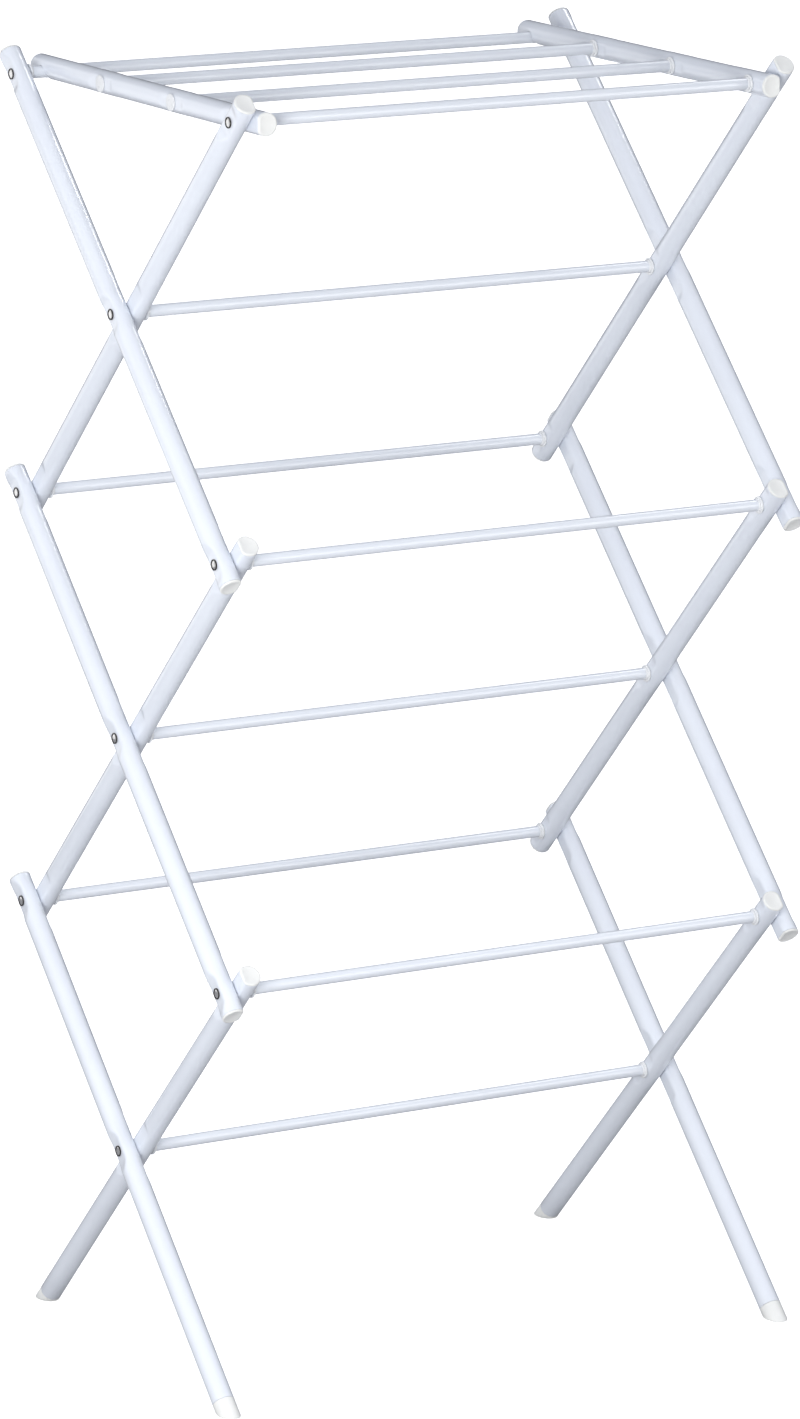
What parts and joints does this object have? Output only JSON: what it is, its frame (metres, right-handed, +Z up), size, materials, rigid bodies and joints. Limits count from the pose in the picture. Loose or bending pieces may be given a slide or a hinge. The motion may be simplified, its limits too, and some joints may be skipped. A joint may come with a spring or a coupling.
{
  "type": "clothes drying rack",
  "caption": "Free-standing folding clothes drying rack: crossed tubular legs in stacked stages, cross rods for hanging and a hinged slatted top shelf.",
  "frame": {"origin": "on the floor, under the middle of the rack", "axes": "+X to the right along the rods seen from the front, -Y to the front, +Z up"},
  "size_m": [0.55, 0.4007, 1.0875],
  "materials": {
    "white_coated_tube": "gloss white powder coat",
    "white_coated_rod": "gloss white powder coat",
    "off_white_plastic": "satin off-white moulded plastic",
    "bright_screw": "bright plated"
  },
  "bodies": {
    "lower_outer": {"lower_outer_leg_left": "white_coated_tube", "lower_outer_leg_right": "white_coated_tube", "front_foot_left": "off_white_plastic", "front_foot_right": "off_white_plastic"},
    "lower_inner": {"lower_inner_leg_left": "white_coated_tube", "lower_inner_leg_right": "white_coated_tube", "lower_inner_leg_cap_left": "off_white_plastic", "lower_inner_leg_cap_right": "off_white_plastic", "rear_foot_left": "off_white_plastic", "rear_foot_right": "off_white_plastic", "lower_cross_rod": "white_coated_rod", "lower_front_rod": "white_coated_rod", "lower_cross_screw_left": "bright_screw", "lower_cross_screw_right": "bright_screw", "lower_front_screw_left": "bright_screw", "lower_front_screw_right": "bright_screw"},
    "middle_outer": {"middle_outer_leg_left": "white_coated_tube", "middle_outer_leg_right": "white_coated_tube", "middle_outer_leg_cap_left": "off_white_plastic", "middle_outer_leg_cap_right": "off_white_plastic"},
    "middle_inner": {"middle_inner_leg_left": "white_coated_tube", "middle_inner_leg_right": "white_coated_tube", "middle_inner_leg_cap_left": "off_white_plastic", "middle_inner_leg_cap_right": "off_white_plastic", "middle_cross_rod": "white_coated_rod", "lower_rear_rod": "white_coated_rod", "middle_front_rod": "white_coated_rod", "middle_cross_screw_left": "bright_screw", "middle_cross_screw_right": "bright_screw", "lower_rear_screw_left": "bright_screw", "lower_rear_screw_right": "bright_screw", "middle_front_screw_left": "bright_screw", "middle_front_screw_right": "bright_screw"},
    "upper_inner": {"upper_inner_leg_left": "white_coated_tube", "upper_inner_leg_right": "white_coated_tube", "upper_inner_leg_cap_left": "off_white_plastic", "upper_inner_leg_cap_right": "off_white_plastic", "upper_cross_rod": "white_coated_rod", "middle_rear_rod": "white_coated_rod", "upper_cross_screw_left": "bright_screw", "upper_cross_screw_right": "bright_screw", "middle_rear_screw_left": "bright_screw", "middle_rear_screw_right": "bright_screw"},
    "upper_outer": {"upper_outer_leg_left": "white_coated_tube", "upper_outer_leg_right": "white_coated_tube", "upper_outer_leg_cap_left": "off_white_plastic", "upper_outer_leg_cap_right": "off_white_plastic", "rear_top_rod": "white_coated_rod", "rear_top_screw_left": "bright_screw", "rear_top_screw_right": "bright_screw"},
    "shelf": {"shelf_bar_left": "white_coated_tube", "shelf_bar_right": "white_coated_tube", "shelf_bar_cap_left": "off_white_plastic", "shelf_bar_cap_right": "off_white_plastic", "shelf_front_rod": "white_coated_rod", "shelf_middle_rod": "white_coated_rod", "shelf_rear_rod": "white_coated_rod", "shelf_front_screw_left": "bright_screw", "shelf_front_screw_right": "bright_screw"}
  },
  "joints": [
    {"name": "fold", "type": "hinge", "parent": "lower_outer", "child": "lower_inner", "pos_m": [0, 0, 0.18031], "axis": [-1, 0, 0], "range_deg": [0, 65]},
    {"name": "middle_outer_pivot", "type": "hinge", "parent": "lower_inner", "child": "middle_outer", "pos_m": [0, -0.17678, 0.35709], "axis": [1, 0, 0], "range_deg": [0, 65]},
    {"name": "middle_inner_pivot", "type": "hinge", "parent": "middle_outer", "child": "middle_inner", "pos_m": [0, 0, 0.53387], "axis": [-1, 0, 0], "range_deg": [0, 65]},
    {"name": "upper_inner_pivot", "type": "hinge", "parent": "middle_outer", "child": "upper_inner", "pos_m": [0, 0.17678, 0.71064], "axis": [-1, 0, 0], "range_deg": [0, 65]},
    {"name": "upper_outer_pivot", "type": "hinge", "parent": "upper_inner", "child": "upper_outer", "pos_m": [0, 0, 0.88742], "axis": [1, 0, 0], "range_deg": [0, 65]},
    {"name": "shelf_swing", "type": "hinge", "parent": "upper_inner", "child": "shelf", "pos_m": [0, -0.17678, 1.0642], "axis": [1, 0, 0], "range_deg": [0, 286]}
  ],
  "couplings": [
    {"joint": "middle_outer_pivot", "follows": "fold", "ratio": 1},
    {"joint": "middle_inner_pivot", "follows": "fold", "ratio": 1},
    {"joint": "upper_inner_pivot", "follows": "fold", "ratio": 1},
    {"joint": "upper_outer_pivot", "follows": "fold", "ratio": 1},
    {"joint": "shelf_swing", "follows": "fold", "ratio": 4.4}
  ]
}
